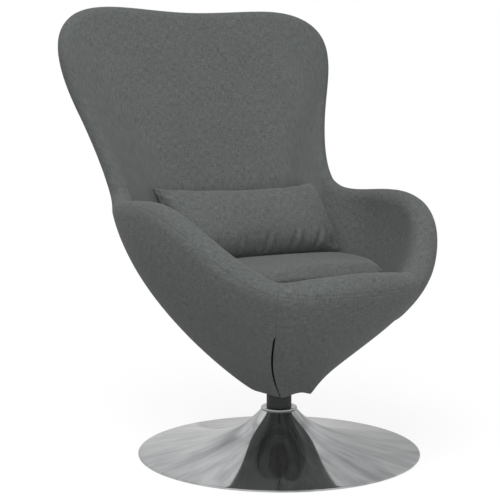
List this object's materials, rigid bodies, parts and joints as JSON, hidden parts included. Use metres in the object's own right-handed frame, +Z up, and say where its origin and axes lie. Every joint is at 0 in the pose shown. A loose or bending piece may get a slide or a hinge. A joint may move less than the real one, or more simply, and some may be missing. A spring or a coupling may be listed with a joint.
{
  "type": "swivel egg chair",
  "caption": "Swivel egg lounge chair: upholstered bucket with winged back and arms, loose seat cushion and lumbar pillow, on a turning column with a bright trumpet base.",
  "frame": {"origin": "on the floor under the column's axis", "axes": "+Z up along the column, the chair faces -Y, +X is the viewer's right when facing the chair's front"},
  "size_m": [0.7178, 0.7394, 0.9827],
  "materials": {
    "cover_fabric": "dark grey linen-like weave",
    "foam": "open-cell foam, pale",
    "wadding": "soft fibre, white",
    "webbing": "woven elastic strap",
    "frame_paint": "black powder coat",
    "board_wood": "plain plywood",
    "steel": "zinc plated",
    "bearing_plastic": "natural bearing plastic",
    "sleeve_black": "matte black",
    "bright_chrome": "polished chrome plate",
    "floor_rubber": "black rubber"
  },
  "bodies": {
    "base": {"base_trumpet": "bright_chrome", "base_plate": "frame_paint", "floor_ring": "floor_rubber", "base_hub": "frame_paint", "column_tube": "frame_paint", "column_plug": "steel", "column_bolt": "steel", "bolt_washer": "steel", "collar_ring": "bright_chrome", "column_sleeve": "sleeve_black", "lower_bush": "bearing_plastic", "upper_bush": "bearing_plastic", "thrust_race_lower": "steel", "thrust_cage": "bearing_plastic", "thrust_balls": "steel"},
    "seat": {"arm_foam_left": "foam", "arm_foam_right": "foam", "arm_hoop_left": "frame_paint", "arm_hoop_right": "frame_paint", "back_foam": "foam", "back_hoop": "frame_paint", "back_webbing": "webbing", "board_screws": "steel", "clip_washer": "steel", "deck_cover": "cover_fabric", "foot_ring": "frame_paint", "frame_ribs": "frame_paint", "front_foam": "foam", "front_hoop": "frame_paint", "front_lip_cover": "cover_fabric", "front_panel_cover": "cover_fabric", "front_wadding": "wadding", "inner_arm_cover_left": "cover_fabric", "inner_arm_cover_right": "cover_fabric", "inner_back_cover": "cover_fabric", "plate_bolts": "steel", "seat_board": "board_wood", "seat_foam": "foam", "seat_plate": "frame_paint", "seat_ring": "board_wood", "side_cover_left": "cover_fabric", "side_cover_right": "cover_fabric", "side_wadding_left": "wadding", "side_wadding_right": "wadding", "spindle": "steel", "spindle_clip": "steel", "tee_nuts": "steel", "thrust_race_upper": "steel"},
    "seat_cushion": {"seat_cushion_top": "cover_fabric", "seat_cushion_bottom": "cover_fabric", "seat_cushion_core": "foam"},
    "lumbar_pillow": {"pillow_front": "cover_fabric", "pillow_back": "cover_fabric", "pillow_core": "wadding"}
  },
  "joints": [
    {"name": "swivel", "type": "hinge", "parent": "base", "child": "seat", "pos_m": [0, 0, 0], "axis": [0, 0, 1], "continuous": true},
    {"name": "cushion_lift", "type": "slide", "parent": "seat", "child": "seat_cushion", "axis": [0, 0, 1], "range_m": [0, 0.2]},
    {"name": "pillow_lift", "type": "slide", "parent": "seat_cushion", "child": "lumbar_pillow", "axis": [0, 0, 1], "range_m": [0, 0.25]}
  ]
}
